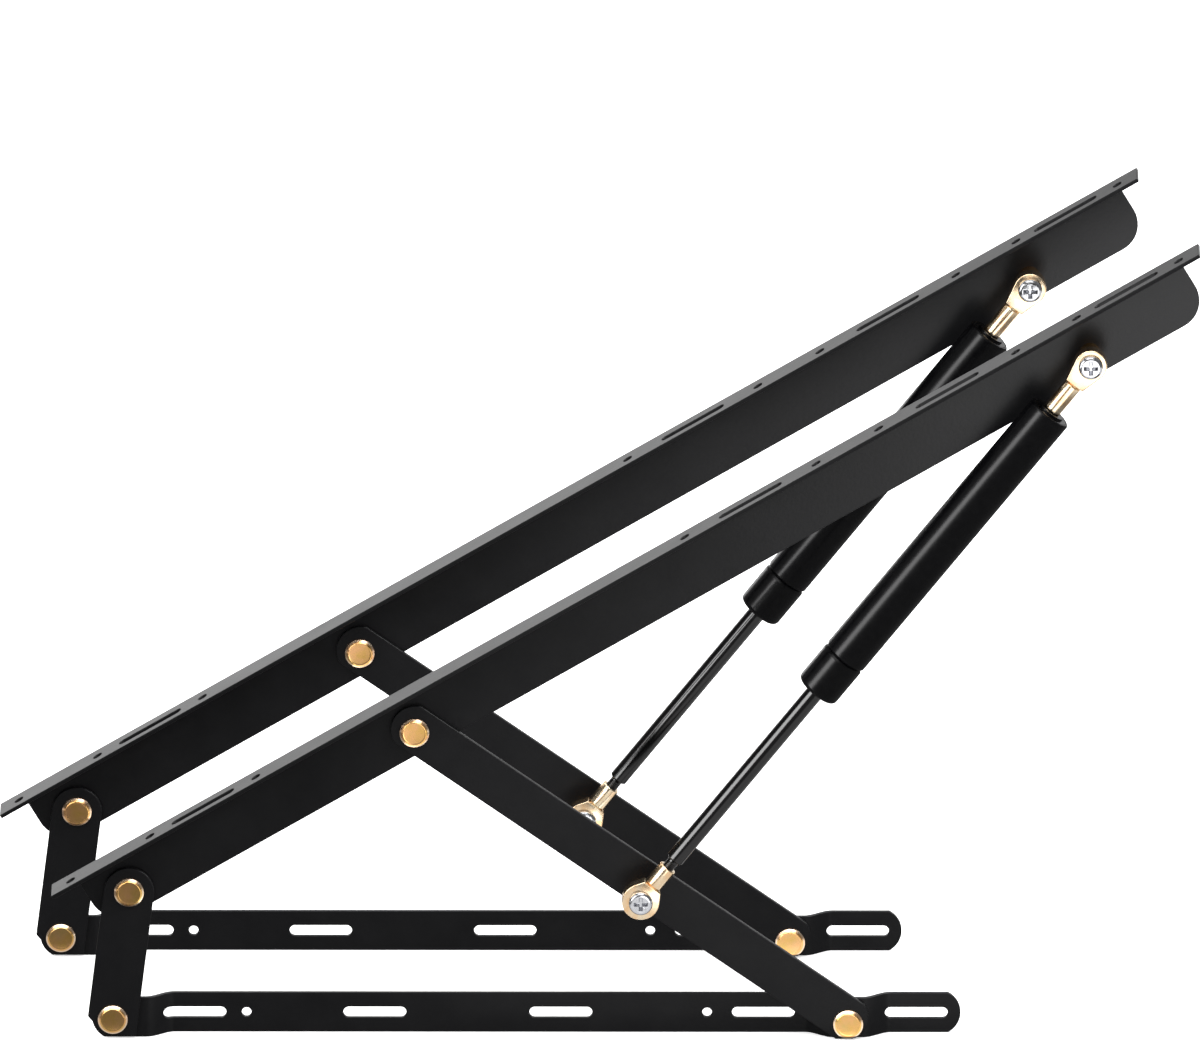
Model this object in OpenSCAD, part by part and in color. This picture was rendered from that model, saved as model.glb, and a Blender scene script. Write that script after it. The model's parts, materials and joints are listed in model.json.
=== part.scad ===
// Bed lift mechanism, a pair. On each side two riveted links carry an angle-iron
// platform rail over a flat-bar base rail, and a gas strut pushes the rail up.
// Millimetres, +Z up, +X along the rails to the strut end, open side towards -Y.
// The origin is on the near rail's back face, at mid-length on its lower edge.

/* [Pair] */
// Distance from the near rail's back face to the far one's
pair_spacing = 158; // [120:1:1800]
// How far the far mechanism stands back along the rails
pair_stagger = 38; // [0:1:80]

/* [Base rail] */
// Height of the flat bar, which stands on edge
rail_height = 28; // [26:0.5:36]
// Thickness of the flat bar
rail_thick = 3; // [2:0.5:4]
// Distance along the rail between the pivots of the two links
pivot_span = 490; // [460:1:540]
// Rail beyond the short link's pivot
rail_heel = 14; // [12:0.5:24]
// Rail beyond the long link's pivot
rail_tab = 75; // [70:1:100]
// Radius of the rail's curved ends
rail_end_radius = 16; // [15:0.5:30]
// How far the pivot seats are cranked forward of the rail's back
seat_crank = 10; // [9:0.5:14]
// Length of each crank's slope
crank_length = 19; // [16:0.5:26]
// Flat seat on the rail side of the short link's pivot
heel_seat = 22; // [18:0.5:28]
// Half length of the flat seat at the long link's pivot
long_seat = 9.5; // [9:0.5:14]
// How far the long link's pivot lies below the rail's middle
long_pivot_drop = 3; // [0:0.5:4]
// Width of the screw slots
rail_slot_width = 7.5; // [5:0.1:9]
// Overall length of the screw slots
rail_slot_length = 42; // [25:0.5:44]
// Slot centres, from the short link's pivot
heel_slots = [54.5, 174.5, 298.5]; // [40:0.5:320]
// Slot centres, from the long link's pivot
tab_slots = [-56.5, 45.5]; // [-80:0.5:50]
// Diameter of the two fixing holes
rail_hole = 6.5; // [4:0.1:8]
// Fixing hole, from the short link's pivot
heel_hole_at = 89; // [84:0.5:100]
// Fixing hole, from the long link's pivot
tab_hole_at = -94; // [-110:0.5:-88]

/* [Links] */
// Thickness of both links
link_thick = 3; // [2:0.5:4]
// Pivot to pivot length of the short link
short_link_length = 90.8; // [80:0.1:100]
// Lean of the raised short link from upright
short_link_lean = 7.15; // [0:0.05:20]
// Width of the short link
short_link_width = 33.4; // [28:0.2:36]
// Height of the short link's level toe above the rail's lower edge
short_toe = 2; // [0.5:0.5:4]
// Level part of the toe left of the pivot
short_toe_reach = 5; // [2:0.5:8]
// Width of the long link
long_link_width = 31; // [28:0.5:36]
// How far the long link's middle lies above its pivot line
long_link_offset = 2; // [0:0.5:3]
// Radius of the long link's curved ends
long_end_radius = 17; // [16.5:0.5:24]
// How far the lower end's arc is drawn in from the pivot
long_toe_inset = 6; // [0:0.5:6]
// Height of the long link's level toe above the rail's lower edge
long_toe = 0.4; // [0.2:0.1:3]

/* [Platform rail] */
// Tilt of the raised platform rail
lift_tilt = 30.7; // [25:0.1:36]
// Length of the upright leg
web_length = 850; // [820:1:1000]
// Upright leg beyond the short link's pivot
web_heel = 26; // [24:0.5:40]
// Height of the upright leg
web_height = 45; // [42:0.5:60]
// Top leg beyond each end of the upright leg
flange_overhang = 16.5; // [0:0.5:24]
// Width of the top leg
flange_width = 25; // [22:0.5:40]
// Outer radius of the fold between the legs
fold_radius = 2.5; // [1:0.5:4]
// Thickness of the angle iron
iron_thick = 3; // [2:0.5:4]
// Depth of the pivots below the top face
pivot_depth = 29.3; // [28:0.1:32]
// Radius of the web's lower corners
web_corner = 20; // [5:0.5:26]
// Distance between the two links' pivots on the iron
link_spacing = 221.1; // [200:0.5:260]
// Strut bolt, from the short link's pivot
strut_bolt_at = 741; // [700:1:780]
// Distance from the iron's back to the line of holes in the top leg
flange_gauge = 15; // [13:0.5:17]
// Diameter of the holes in the top leg
flange_hole = 6.5; // [4:0.1:8]
// Width of the slots in the top leg
flange_slot_width = 7; // [5:0.1:8]
// Length of the slots in the top leg
flange_slot_length = 48; // [30:0.5:54]
// Slot centres in the top leg, from the short link's pivot
flange_slots = [75, 497.5, 648.5]; // [70:0.5:680]
// Hole before each of those slots, from the short link's pivot
flange_holes_before = [34, 447, 596]; // [20:0.5:640]
// Hole after each of those slots, from the short link's pivot
flange_holes_after = [116, 548, 701]; // [100:0.5:720]
// Centre of the last slot, from the top leg's raised end
end_slot_at = 55; // [45:0.5:60]
// Hole before the last slot, from the top leg's raised end
end_hole_at = 93; // [88:0.5:110]
// Hole at each tip, from the top leg's end
tip_hole_at = 15; // [8:0.5:18]

/* [Rivets and bolts] */
// Diameter of the rivet shanks
rivet_shank = 10; // [7:0.5:10]
// Diameter of the rivet heads
rivet_head = 20; // [14:0.5:20]
// Height of the rivet heads
rivet_head_height = 3; // [2:0.1:4]
// Width of the sloped rim round the rivet heads
rivet_rim = 2.2; // [0.5:0.1:3]
// Diameter of the riveted tails
rivet_tail = 16; // [13:0.5:18]
// Height of the riveted tails
rivet_tail_height = 2.5; // [1.5:0.1:3]
// Outer diameter of the washers between links and rails
washer_diameter = 24; // [18:0.5:26]
// Space for a washer between a link and a rail
washer_gap = 1; // [0.6:0.1:2]
// Diameter of the strut bolts
bolt_shank = 8; // [6:0.5:8]
// Diameter of the strut bolts' heads
bolt_head = 16; // [14:0.5:18]
// Height of the strut bolts' heads
bolt_head_height = 5; // [4:0.1:6]
// Length of each arm pair of the cross recess
recess_span = 8; // [6:0.5:9]
// Width of the cross recess
recess_width = 1.8; // [1.2:0.1:2.2]
// Depth of the cross recess
recess_depth = 2.4; // [1.5:0.1:3]
// Size of the lock nuts across their flats
nut_flats = 13; // [12:0.5:14]
// Height of the lock nuts' hexagon
nut_hex_height = 5.5; // [4:0.1:6]
// Height of the lock nuts' round collar
nut_collar_height = 2; // [1:0.1:2]
// Bolt tip beyond the lock nut
bolt_tip = 0.5; // [0:0.1:1]
// Outer diameter of the spacers behind the strut's eyes
spacer_diameter = 14; // [12:0.5:16]

/* [Gas strut] */
// Distance of the strut's axis in front of the rail's back
strut_plane = 36; // [34:0.5:42]
// Foot of the strut, along the long link from its lower pivot
strut_foot_at = 167.7; // [150:0.5:190]
// Foot of the strut, below the long link's pivot line
strut_foot_drop = 3; // [0:0.5:5]
// Outer diameter of the pressure tube
tube_diameter = 30; // [26:0.5:32]
// Wall of the pressure tube
tube_wall = 2; // [1.5:0.1:2.5]
// Length of the pressure tube
tube_length = 219; // [210:1:235]
// Edge break at the ends of the tube
tube_edge = 1; // [0.5:0.1:1.4]
// Length of the end cap at the rod's side
cap_length = 30; // [26:0.5:36]
// Rounding of the cap's nose
cap_round = 3.5; // [1:0.5:5]
// Thickness of the cap's nose
cap_nose = 6; // [5.5:0.5:8]
// Length of the cap's spigot inside the tube
spigot_length = 8; // [5:0.5:10]
// Wall of the cap round the guide and the seal
spigot_wall = 2; // [1.5:0.1:2.5]
// Length of the rod's seal
seal_length = 9; // [5:0.5:10]
// Diameter of the piston rod
rod_diameter = 12; // [10:0.5:14]
// Diameter of the rod's threaded and riveted ends
rod_stud = 8; // [6:0.5:8]
// Chamfer at the ends of the rod's full diameter
rod_chamfer = 1; // [0.5:0.1:1.5]
// Space left past the studs' ends in the eyes' threads
stud_end_gap = 1; // [0.5:0.1:2]
// Bare stud between the foot eye and the rod
stud_neck = 6.5; // [4:0.5:9]
// Length of the piston
piston_length = 10; // [8:0.5:14]
// Space between the piston and the cap when the strut is out
piston_rest_gap = 3; // [1:0.5:6]
// Gap round the piston's body inside the tube
piston_gap = 0.5; // [0.3:0.1:0.8]
// Width of the piston ring
ring_width = 3; // [2:0.5:4]
// Depth of the piston ring
ring_depth = 2.5; // [2:0.1:3]
// Length of the plug in the tube's closed end
plug_length = 12; // [8:0.5:16]
// Diameter of the plug's shoulder outside the tube
plug_shoulder = 19; // [16:0.5:22]
// Height of the plug's shoulder
plug_shoulder_height = 1.5; // [1:0.1:2]
// Width of the eye at the foot
foot_eye_width = 25; // [20:0.5:26]
// Width of the eye at the top
top_eye_width = 21.5; // [18:0.5:25]
// Thickness of the eyes
eye_thick = 10; // [8:0.5:12]
// Distance from the foot eye's centre to its shoulder
foot_eye_shoulder = 12.8; // [12.6:0.1:15]
// Distance from the top eye's centre to its shoulder
top_eye_shoulder = 17.6; // [14:0.1:20]
// Width of the eyes' shoulders
eye_shoulder_width = 13.4; // [12.5:0.1:16]
// Diameter of the eyes' shanks
eye_shank = 12; // [11:0.5:13]
// Distance from the foot eye's centre to its shank's end
foot_eye_length = 29.5; // [28:0.5:36]
// Distance from the top eye's centre to its shank's end
top_eye_length = 41; // [36:0.5:44]
// Length of thread in an eye's shank
eye_thread = 13; // [9:0.5:14]

/* [Clearances] */
// Radial clearance of pins and pistons that run in bores
running_clearance = 0.05; // [0.02:0.01:0.1]
// Play along the pivots
axial_play = 0.1; // [0.05:0.05:0.3]
// Radial clearance of the rod in the cap's nose
wiper_clearance = 0.4; // [0.2:0.1:1]

/* [Hidden] */
$fn = 64;
through = 1;

// Pivots of one mechanism in its own plane, as [x, z] from the short link's foot
short_foot = [0, rail_height / 2];
long_foot = [pivot_span, rail_height / 2 - long_pivot_drop];
short_top = short_foot + short_link_length * [sin(short_link_lean), cos(short_link_lean)];
iron_dir = [cos(lift_tilt), sin(lift_tilt)];
long_top = short_top + link_spacing * iron_dir;
strut_top = short_top + strut_bolt_at * iron_dir;
long_span = long_top - long_foot;
long_link_length = norm(long_span);
long_link_angle = atan2(long_span[1], long_span[0]);
long_dir = long_span / long_link_length;
strut_foot = long_foot + strut_foot_at * long_dir + strut_foot_drop * [-long_dir[1], long_dir[0]];
strut_span = strut_top - strut_foot;
strut_length = norm(strut_span);
strut_angle = atan2(strut_span[1], strut_span[0]);

// Depths in front of the rail's back face
web_back = seat_crank;
web_front = web_back + iron_thick;
seat_front = seat_crank + rail_thick;
link_back = max(web_front, seat_front) + washer_gap;
link_front = link_back + link_thick;
eye_back = strut_plane - eye_thick / 2;
eye_front = strut_plane + eye_thick / 2;

// Rail stations along X
rail_left = -rail_heel;
rail_right = pivot_span + rail_tab;
rail_middle = (rail_left + rail_right) / 2;
tab_crank_up = pivot_span - long_seat - crank_length;
tab_crank_down = pivot_span + long_seat;
crank_steps = 10;
probe = 0.01;

// Stations along the strut from its foot
tube_radius = tube_diameter / 2;
bore_radius = tube_radius - tube_wall;
rod_start = foot_eye_length + stud_neck;
stud_start = foot_eye_length - eye_thread + stud_end_gap;
tube_top = strut_length - top_eye_length - plug_shoulder_height;
tube_start = tube_top - tube_length;
cap_start = tube_start - cap_length;
spigot_end = tube_start + spigot_length;
spigot_bore = bore_radius - running_clearance - spigot_wall;
seal_start = cap_start + cap_nose;
guide_start = seal_start + seal_length;
piston_start = spigot_end + piston_rest_gap;
rod_end = piston_start + piston_length;
ring_start = piston_start + (piston_length - ring_width) / 2;
ring_radius = bore_radius - running_clearance;
nut_height = nut_hex_height + nut_collar_height;

// Stands one mechanism at the near or the far place of the pair
module near() {
    translate([-rail_middle, 0, 0]) children();
}
module far() {
    translate([-rail_middle - pair_stagger, pair_spacing, 0]) children();
}

// Extrudes an outline drawn in [x, z] from depth d towards the open side
module plate(d, thick) {
    translate([0, -d, 0]) rotate([90, 0, 0]) linear_extrude(thick) children();
}

// Turns a shape made along +Z to lie on a pivot at [x, z], with its +Z towards the open side
module on_pivot(at, d = 0) {
    translate([at[0], -d, at[1]]) rotate([90, 0, 0]) children();
}

// Puts a shape made along +Z on the strut's axis, t from the foot's centre
module on_strut(t = 0) {
    translate([strut_foot[0], -strut_plane, strut_foot[1]])
        rotate([0, 90 - strut_angle, 0])
            translate([0, 0, t]) children();
}

// Puts an outline drawn along the iron's pivot line at the short link's top pivot
module along_iron() {
    translate([short_top[0], 0, short_top[1]]) rotate([0, -lift_tilt, 0]) children();
}

// Stadium outline, length along X
module slot_outline(length, width) {
    square([length - width, width], center = true);
    for (side = [-1, 1]) translate([side * (length - width) / 2, 0]) circle(d = width);
}

// Round bar with both ends broken by a chamfer
module chamfered_bar(radius, length, chamfer) {
    rotate_extrude() polygon([
        [0, 0], [radius - chamfer, 0], [radius, chamfer],
        [radius, length - chamfer], [radius - chamfer, length], [0, length]
    ]);
}

// Ring with a square section
module ring(outer_radius, inner_radius, height) {
    difference() {
        cylinder(r = outer_radius, h = height);
        translate([0, 0, -through]) cylinder(r = inner_radius, h = height + 2 * through);
    }
}

// Forward crank of the rail's back face at station x
function slope(u) = (1 - cos(180 * u)) / 2;
function crank_at(x) =
    x <= heel_seat ? seat_crank :
    x < heel_seat + crank_length ? seat_crank * (1 - slope((x - heel_seat) / crank_length)) :
    x <= tab_crank_up ? 0 :
    x < tab_crank_up + crank_length ? seat_crank * slope((x - tab_crank_up) / crank_length) :
    x <= tab_crank_down ? seat_crank :
    x < tab_crank_down + crank_length ? seat_crank * (1 - slope((x - tab_crank_down) / crank_length)) : 0;
function crank_tilt(x) = atan((crank_at(x + probe) - crank_at(x - probe)) / (2 * probe));
function rail_face(x, side) =
    [x, -crank_at(x) - rail_thick / 2] - side * rail_thick / 2 * [sin(crank_tilt(x)), cos(crank_tilt(x))];
rail_stations = concat(
    [rail_left],
    [for (start = [heel_seat, tab_crank_up, tab_crank_down], i = [0 : crank_steps])
        start + crank_length * i / crank_steps],
    [rail_right]
);
rail_screw_slots = concat(heel_slots, [for (x = tab_slots) pivot_span + x]);

// Flat bar cranked forward at both pivots, with curved ends, screw slots and fixing holes
module base_rail() {
    last = len(rail_stations) - 1;
    depth = seat_crank + rail_thick + 2 * through;
    color("#1c1c1e") difference() {
        intersection() {
            linear_extrude(rail_height) polygon(concat(
                [for (x = rail_stations) rail_face(x, 1)],
                [for (i = [last : -1 : 0]) rail_face(rail_stations[i], -1)]
            ));
            plate(-through, depth) translate([0, rail_height / 2]) {
                translate([rail_left + rail_end_radius, -rail_height])
                    square([rail_right - rail_left - 2 * rail_end_radius, 2 * rail_height]);
                for (x = [rail_left + rail_end_radius, rail_right - rail_end_radius])
                    translate([x, 0]) circle(r = rail_end_radius, $fn = 128);
            }
        }
        for (x = rail_screw_slots)
            plate(-through, depth) translate([x, rail_height / 2])
                slot_outline(rail_slot_length, rail_slot_width);
        for (x = [heel_hole_at, pivot_span + tab_hole_at])
            on_pivot([x, rail_height / 2], -through) cylinder(d = rail_hole, h = depth);
        for (at = [short_foot, long_foot])
            on_pivot(at, -through) cylinder(r = rivet_shank / 2 + running_clearance, h = depth);
    }
}

// Flat link with a round top and a level toe whose outer corner is cut back
module short_link() {
    half = short_link_width / 2;
    reach = short_link_width;
    color("#1a1a1c") difference() {
        plate(link_back, link_thick) difference() {
            translate(short_foot) rotate(-short_link_lean) {
                translate([-half, -reach]) square([short_link_width, short_link_length + reach]);
                translate([0, short_link_length]) circle(r = half, $fn = 128);
            }
            translate([-2 * reach, short_toe - 2 * reach]) square([4 * reach, 2 * reach]);
            polygon([
                [-half, short_foot[1] + half * sin(short_link_lean)], [-short_toe_reach, short_toe],
                [-short_toe_reach, -reach], [-2 * reach, -reach], [-2 * reach, short_foot[1]]
            ]);
        }
        for (at = [short_foot, short_top])
            on_pivot(at, link_back - through)
                cylinder(r = rivet_shank / 2 + running_clearance, h = link_thick + 2 * through);
    }
}

// Long flat link with shallow curved ends, bored for two rivets and the strut's bolt
module long_link() {
    above = long_link_width / 2 + long_link_offset;
    toe = long_toe_inset;
    color("#1e1e20") difference() {
        plate(link_back, link_thick) difference() {
            translate(long_foot) rotate(long_link_angle) intersection() {
                translate([-long_end_radius, -above])
                    square([long_link_length + 2 * long_end_radius, long_link_width]);
                union() {
                    translate([toe, -long_link_offset]) circle(r = long_end_radius, $fn = 128);
                    translate([long_link_length, -long_link_offset])
                        circle(r = long_end_radius, $fn = 128);
                    translate([toe, -long_link_width])
                        square([long_link_length - toe, 2 * long_link_width]);
                }
            }
            translate([pivot_span - long_link_width, long_toe - long_link_width])
                square([2 * long_link_width, long_link_width]);
        }
        for (at = [long_foot, long_top])
            on_pivot(at, link_back - through)
                cylinder(r = rivet_shank / 2 + running_clearance, h = link_thick + 2 * through);
        on_pivot(strut_foot, link_back - through)
            cylinder(r = bolt_shank / 2 + running_clearance, h = link_thick + 2 * through);
    }
}

// Angle iron: upright web with rounded lower corners, folded over to a longer, slotted top leg
module platform_rail() {
    left = -web_heel - flange_overhang;
    right = web_length - web_heel + flange_overhang;
    bottom = pivot_depth - web_height;
    color("#242426") difference() {
        along_iron() {
            plate(web_back, iron_thick) translate([-web_heel, bottom]) difference() {
                square([web_length, web_height]);
                for (end = [0, 1]) translate([end * web_length, 0]) mirror([end, 0])
                    difference() {
                        square(web_corner);
                        translate([web_corner, web_corner]) circle(r = web_corner, $fn = 128);
                    }
            }
            translate([left, -web_back - flange_width, pivot_depth - iron_thick])
                cube([right - left, flange_width, iron_thick]);
        }
        along_iron() translate([left - through, -web_back - fold_radius, pivot_depth - fold_radius])
            rotate([90, 0, 90]) linear_extrude(right - left + 2 * through) difference() {
                square(fold_radius + through);
                circle(r = fold_radius);
            }
        along_iron() translate([0, -web_back - flange_gauge, pivot_depth - iron_thick - through]) {
            for (x = concat(flange_slots, [right - end_slot_at])) translate([x, 0, 0])
                linear_extrude(iron_thick + 2 * through)
                    slot_outline(flange_slot_length, flange_slot_width);
            for (x = concat(flange_holes_before, flange_holes_after,
                    [left + tip_hole_at, right - end_hole_at, right - tip_hole_at]))
                translate([x, 0, 0]) cylinder(d = flange_hole, h = iron_thick + 2 * through);
        }
        for (at = [short_top, long_top])
            on_pivot(at, web_back - through)
                cylinder(r = rivet_shank / 2 + running_clearance, h = iron_thick + 2 * through);
        on_pivot(strut_top, web_back - through)
            cylinder(r = bolt_shank / 2 + running_clearance, h = iron_thick + 2 * through);
    }
}

// Flat rivet head with a sloped rim, just clear of the link
module rivet_head() {
    edge = 0.15 * rivet_head_height;
    rotate_extrude() polygon([
        [0, 0], [rivet_head / 2 - edge, 0], [rivet_head / 2, edge],
        [rivet_head / 2, 0.4 * rivet_head_height],
        [rivet_head / 2 - rivet_rim, rivet_head_height], [0, rivet_head_height]
    ]);
}

// Whole rivet: tail behind the seat, shank through seat, washer and link, head in front
module rivet(at, seat_back) {
    head_at = link_front + axial_play;
    color("#b98a3e") {
        on_pivot(at, head_at) rivet_head();
        on_pivot(at, seat_back - axial_play) cylinder(d = rivet_shank, h = head_at - seat_back + axial_play);
        on_pivot(at, seat_back - rivet_tail_height)
            chamfered_bar(rivet_tail / 2, rivet_tail_height, rivet_tail_height / 4);
    }
}
module short_link_base_rivet() {
    rivet(short_foot, seat_crank);
}
module short_link_top_rivet() {
    rivet(short_top, web_back);
}
module long_link_base_rivet() {
    rivet(long_foot, seat_crank);
}

// The rivet at the long link's top is parted at the web's face, so that the link can leave it
module long_link_top_rivet() {
    start = web_front + axial_play;
    head_at = link_front + axial_play;
    color("#c79a4a") {
        on_pivot(long_top, head_at) rivet_head();
        on_pivot(long_top, start) cylinder(d = rivet_shank, h = head_at - start);
    }
}
module long_link_top_rivet_tail() {
    color("#c79a4a") {
        on_pivot(long_top, web_back - axial_play) cylinder(d = rivet_shank, h = iron_thick + axial_play);
        on_pivot(long_top, web_back - rivet_tail_height)
            chamfered_bar(rivet_tail / 2, rivet_tail_height, rivet_tail_height / 4);
    }
}

// Thin washer between a link and the face that it turns on
module pivot_washer(at, face) {
    color("#101010") on_pivot(at, face + axial_play)
        ring(washer_diameter / 2, rivet_shank / 2 + running_clearance, link_back - face - axial_play);
}
module short_link_base_washer() {
    pivot_washer(short_foot, seat_front);
}
module short_link_top_washer() {
    pivot_washer(short_top, web_front);
}
module long_link_base_washer() {
    pivot_washer(long_foot, seat_front);
}
module long_link_top_washer() {
    pivot_washer(long_top, web_front);
}

// Pressure tube with broken edges at both ends
module strut_tube() {
    color("#0c0c0d") on_strut(tube_start) rotate_extrude() polygon([
        [bore_radius, 0], [tube_radius - tube_edge, 0], [tube_radius, tube_edge],
        [tube_radius, tube_length - tube_edge], [tube_radius - tube_edge, tube_length],
        [bore_radius, tube_length]
    ]);
}

// End cap: a nose with a rounded edge, and a spigot that screws into the tube
module strut_end_cap() {
    arc_steps = 8;
    nose_bore = rod_diameter / 2 + wiper_clearance;
    spigot_radius = bore_radius - running_clearance;
    color("#0a0a0b") on_strut(cap_start) rotate_extrude() polygon(concat(
        [[nose_bore, 0]],
        [for (i = [0 : arc_steps]) let (a = 90 * i / arc_steps)
            [tube_radius - cap_round + cap_round * sin(a), cap_round - cap_round * cos(a)]],
        [
            [tube_radius, cap_length - tube_edge], [tube_radius - tube_edge, cap_length],
            [spigot_radius, cap_length], [spigot_radius, cap_length + spigot_length],
            [spigot_bore, cap_length + spigot_length], [spigot_bore, cap_nose], [nose_bore, cap_nose]
        ]
    ));
}

// Plug in the tube's closed end, with the stud that carries the top eye
module strut_end_plug() {
    color("#0c0c0d") on_strut(tube_top - plug_length) {
        cylinder(r = bore_radius - running_clearance, h = plug_length);
        translate([0, 0, plug_length]) cylinder(d = plug_shoulder, h = plug_shoulder_height);
        cylinder(d = rod_stud, h = plug_length + plug_shoulder_height + eye_thread - stud_end_gap);
    }
}

// Piston rod with a threaded stud at the foot and a turned-down end for the piston
module strut_rod() {
    color("#1b1b1d") {
        on_strut(stud_start) cylinder(d = rod_stud, h = rod_end - stud_start);
        on_strut(rod_start) chamfered_bar(rod_diameter / 2, piston_start - rod_start, rod_chamfer);
    }
}

// Piston, grooved for its ring
module strut_piston() {
    radius = bore_radius - piston_gap;
    color("silver") on_strut(piston_start) difference() {
        ring(radius, rod_stud / 2 + running_clearance, piston_length);
        translate([0, 0, ring_start - piston_start])
            ring(radius + through, ring_radius - ring_depth - running_clearance, ring_width);
    }
}
module strut_piston_ring() {
    color("#222222") on_strut(ring_start + axial_play / 2)
        ring(ring_radius, ring_radius - ring_depth, ring_width - axial_play);
}

// Guide bush and lip seal, both held in the end cap round the rod
module strut_rod_guide() {
    color("#8c7a4a") on_strut(guide_start)
        ring(spigot_bore - running_clearance, rod_diameter / 2 + running_clearance,
            spigot_end - guide_start);
}
module strut_rod_seal() {
    color("#181818") on_strut(seal_start)
        ring(spigot_bore - running_clearance, rod_diameter / 2 + running_clearance, seal_length);
}

// Eye fitting with its centre at the origin, its bore along Y and its shank along +Z
module eye_fitting(width, shoulder, length) {
    radius = width / 2;
    half = eye_shoulder_width / 2;
    corner = norm([half, shoulder]);
    touch = atan2(shoulder, half) - acos(radius / corner);
    difference() {
        union() {
            rotate([90, 0, 0]) cylinder(r = radius, h = eye_thick, center = true);
            rotate([90, 0, 0]) linear_extrude(eye_thick, center = true) polygon([
                [radius * cos(touch), radius * sin(touch)], [half, shoulder],
                [-half, shoulder], [-radius * cos(touch), radius * sin(touch)], [0, 0]
            ]);
            translate([0, 0, shoulder - through]) cylinder(d = eye_shank, h = length - shoulder + through);
        }
        rotate([90, 0, 0])
            cylinder(r = bolt_shank / 2 + running_clearance, h = eye_thick + 2 * through, center = true);
        translate([0, 0, length - eye_thread])
            cylinder(r = rod_stud / 2 + running_clearance, h = eye_thread + through);
    }
}
module strut_top_eye() {
    color("#d8b066") on_strut(strut_length) rotate([180, 0, 0])
        eye_fitting(top_eye_width, top_eye_shoulder, top_eye_length);
}
module strut_foot_eye() {
    color("#d8b066") on_strut() eye_fitting(foot_eye_width, foot_eye_shoulder, foot_eye_length);
}

// Pan head with a cross recess, standing on the eye's face
module bolt_head() {
    rim = bolt_head_height / 2;
    dome_steps = 8;
    difference() {
        rotate_extrude() polygon(concat(
            [[0, 0], [bolt_head / 2, 0]],
            [for (i = [0 : dome_steps]) let (a = 90 * i / dome_steps)
                [bolt_head / 2 - rim + rim * cos(a), bolt_head_height - rim + rim * sin(a)]],
            [[0, bolt_head_height]]
        ));
        for (turn = [0, 90]) rotate(turn)
            translate([-recess_span / 2, -recess_width / 2, bolt_head_height - recess_depth])
                cube([recess_span, recess_width, recess_depth + through]);
    }
}

// Bolt from its tip at depth tip to the head in front of the eye
module strut_bolt(at, tip) {
    head_at = eye_front + axial_play;
    color("#d9d9dc") {
        on_pivot(at, head_at) bolt_head();
        on_pivot(at, tip) cylinder(d = bolt_shank, h = head_at - tip);
    }
}
module strut_top_bolt() {
    strut_bolt(strut_top, web_back - nut_height - bolt_tip);
}

// The foot's bolt is parted at the link's face, so that the strut's foot can leave it
module strut_foot_bolt() {
    strut_bolt(strut_foot, link_front + axial_play);
}

// Tube spacer that holds an eye clear of its plate
module strut_top_spacer() {
    color("#a8803e") on_pivot(strut_top, web_front)
        ring(spacer_diameter / 2, bolt_shank / 2 + running_clearance, eye_back - axial_play - web_front);
}
module strut_foot_spacer() {
    start = link_front + axial_play;
    color("#a8803e") on_pivot(strut_foot, start)
        ring(spacer_diameter / 2, bolt_shank / 2 + running_clearance, eye_back - axial_play - start);
}

// Lock nut behind a plate: hexagon against the plate, round collar at the back
module lock_nut() {
    rotate(30) translate([0, 0, -nut_hex_height])
        cylinder(d = nut_flats / cos(30), h = nut_hex_height, $fn = 6);
    translate([0, 0, -nut_height])
        chamfered_bar(nut_flats / 2 - nut_collar_height / 4, nut_height, nut_collar_height / 2);
}
module strut_top_nut() {
    color("#c9cacc") on_pivot(strut_top, web_back) difference() {
        lock_nut();
        translate([0, 0, -nut_height - through])
            cylinder(r = bolt_shank / 2 + running_clearance, h = nut_height + 2 * through);
    }
}
// The foot's nut keeps the end of its bolt, which fills the link's hole
module strut_foot_nut() {
    color("#c9cacc") {
        on_pivot(strut_foot, link_back) lock_nut();
        on_pivot(strut_foot, link_back - nut_height - bolt_tip)
            cylinder(d = bolt_shank, h = nut_height + bolt_tip + link_thick);
    }
}

near() base_rail();  // near_base_rail
near() short_link();  // near_short_link
near() long_link();  // near_long_link
near() platform_rail();  // near_platform_rail
near() short_link_base_rivet();  // near_short_link_base_rivet
near() short_link_top_rivet();  // near_short_link_top_rivet
near() long_link_base_rivet();  // near_long_link_base_rivet
near() long_link_top_rivet();  // near_long_link_top_rivet
near() long_link_top_rivet_tail();  // near_long_link_top_rivet_tail
near() short_link_base_washer();  // near_short_link_base_washer
near() short_link_top_washer();  // near_short_link_top_washer
near() long_link_base_washer();  // near_long_link_base_washer
near() long_link_top_washer();  // near_long_link_top_washer
near() strut_tube();  // near_strut_tube
near() strut_end_cap();  // near_strut_end_cap
near() strut_end_plug();  // near_strut_end_plug
near() strut_rod();  // near_strut_rod
near() strut_piston();  // near_strut_piston
near() strut_piston_ring();  // near_strut_piston_ring
near() strut_rod_guide();  // near_strut_rod_guide
near() strut_rod_seal();  // near_strut_rod_seal
near() strut_top_eye();  // near_strut_top_eye
near() strut_foot_eye();  // near_strut_foot_eye
near() strut_top_bolt();  // near_strut_top_bolt
near() strut_foot_bolt();  // near_strut_foot_bolt
near() strut_top_spacer();  // near_strut_top_spacer
near() strut_foot_spacer();  // near_strut_foot_spacer
near() strut_top_nut();  // near_strut_top_nut
near() strut_foot_nut();  // near_strut_foot_nut
far() base_rail();  // far_base_rail
far() short_link();  // far_short_link
far() long_link();  // far_long_link
far() platform_rail();  // far_platform_rail
far() short_link_base_rivet();  // far_short_link_base_rivet
far() short_link_top_rivet();  // far_short_link_top_rivet
far() long_link_base_rivet();  // far_long_link_base_rivet
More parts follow.
